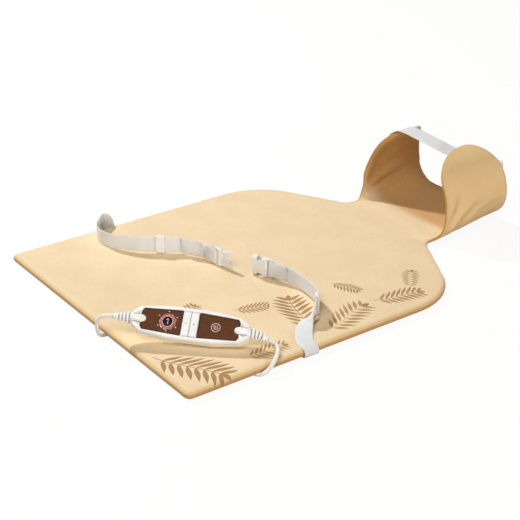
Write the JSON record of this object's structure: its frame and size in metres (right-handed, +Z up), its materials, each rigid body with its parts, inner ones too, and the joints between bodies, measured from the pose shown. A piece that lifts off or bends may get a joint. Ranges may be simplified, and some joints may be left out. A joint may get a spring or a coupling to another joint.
{
  "type": "heating pad with controller",
  "caption": "Shaped heating pad for neck and back with a wrap-round collar, a buckled waist belt and a corded hand controller with push buttons.",
  "frame": {"origin": "on the floor, under the middle of the pad with its collar", "axes": "+Y from the pad hem to the collar, +X to the side of the controller, +Z up"},
  "size_m": [0.4293, 0.7717, 0.1245],
  "materials": {
    "pad_cover": "printed short-pile fleece",
    "pad_underside": "plain woven",
    "collar_lining": "short-pile fleece",
    "wadding": "soft batting",
    "carrier": "thin felt",
    "heating_wire": "smooth insulation",
    "webbing": "woven tape",
    "white_plastic": "moulded, light sheen",
    "window_panel": "polished",
    "red_plastic": "polished",
    "lens": "clear tinted",
    "circuit_board": "lacquered",
    "black_plastic": "moulded",
    "steel": "zinc plated",
    "brass": "plain",
    "cord_jacket": "smooth satin jacket"
  },
  "bodies": {
    "pad": {"pad_top_cover": "pad_cover", "pad_upper_wadding": "wadding", "heating_wire": "heating_wire", "heating_carrier": "carrier", "pad_bottom_cover": "pad_underside", "coupling_socket": "white_plastic", "coupling_plug": "white_plastic", "thermal_cutout_1": "black_plastic", "thermal_cutout_2": "black_plastic", "collar_outer_cover": "pad_cover", "collar_wadding": "wadding", "collar_inner_cover": "collar_lining", "closure_strap_base": "webbing", "closure_patch": "webbing", "left_belt_webbing": "webbing", "right_belt_webbing": "webbing", "controller_upper_housing": "white_plastic", "controller_lower_housing": "white_plastic", "display_window": "window_panel", "plain_window": "window_panel", "level_ring": "red_plastic", "display_lens": "lens", "minus_switch": "black_plastic", "plus_switch": "black_plastic", "circuit_board": "circuit_board", "digit_display": "black_plastic", "control_chip": "black_plastic", "power_switch": "black_plastic", "fuse": "steel", "capacitor": "black_plastic", "mains_strain_relief": "white_plastic", "pad_strain_relief": "white_plastic", "housing_screw_1": "steel", "housing_screw_2": "steel", "housing_screw_3": "steel", "housing_screw_4": "steel", "pad_cord": "cord_jacket", "mains_cord": "cord_jacket", "mains_coil": "cord_jacket", "coil_tie": "black_plastic", "mains_cord_tail": "cord_jacket", "mains_plug_relief": "cord_jacket", "mains_plug_body": "white_plastic", "mains_plug_pin_1": "brass", "mains_plug_pin_2": "brass"},
    "minus_key": {"minus_button": "white_plastic"},
    "plus_key": {"plus_button": "white_plastic"},
    "slider": {"belt_slider": "white_plastic"},
    "adjuster": {"belt_adjuster": "white_plastic"},
    "plug_half": {"buckle_plug": "white_plastic"},
    "socket_half": {"buckle_socket": "white_plastic"},
    "closure_tab": {"closure_strap": "webbing"}
  },
  "joints": [
    {"name": "minus_press", "type": "slide", "parent": "pad", "child": "minus_key", "axis": [-0.5103, 0.445, -0.7359], "range_m": [0, 0.0008], "stiffness_N_per_m": 180, "springref_m": -0.0006},
    {"name": "plus_press", "type": "slide", "parent": "pad", "child": "plus_key", "axis": [-0.5103, 0.445, -0.7359], "range_m": [0, 0.0008], "stiffness_N_per_m": 180, "springref_m": -0.0006},
    {"name": "slider_shift", "type": "slide", "parent": "pad", "child": "slider", "axis": [0.6143, 0.7891, 0], "range_m": [-0.01, 0.01]},
    {"name": "adjuster_shift", "type": "slide", "parent": "pad", "child": "adjuster", "axis": [0.7314, -0.682, 0], "range_m": [-0.003, 0.003]},
    {"name": "plug_swing", "type": "hinge", "parent": "pad", "child": "plug_half", "pos_m": [-0.02604, -0.10712, 0.0246], "axis": [0, 0, 1], "range_deg": [-30, 30]},
    {"name": "socket_swing", "type": "hinge", "parent": "pad", "child": "socket_half", "pos_m": [0.04599, -0.07312, 0.0255], "axis": [0, 0, 1], "range_deg": [-30, 30]},
    {"name": "closure_fold", "type": "hinge", "parent": "pad", "child": "closure_tab", "pos_m": [-0.03581, 0.231, 0.12156], "axis": [0, 1, 0], "range_deg": [0, 45]}
  ]
}
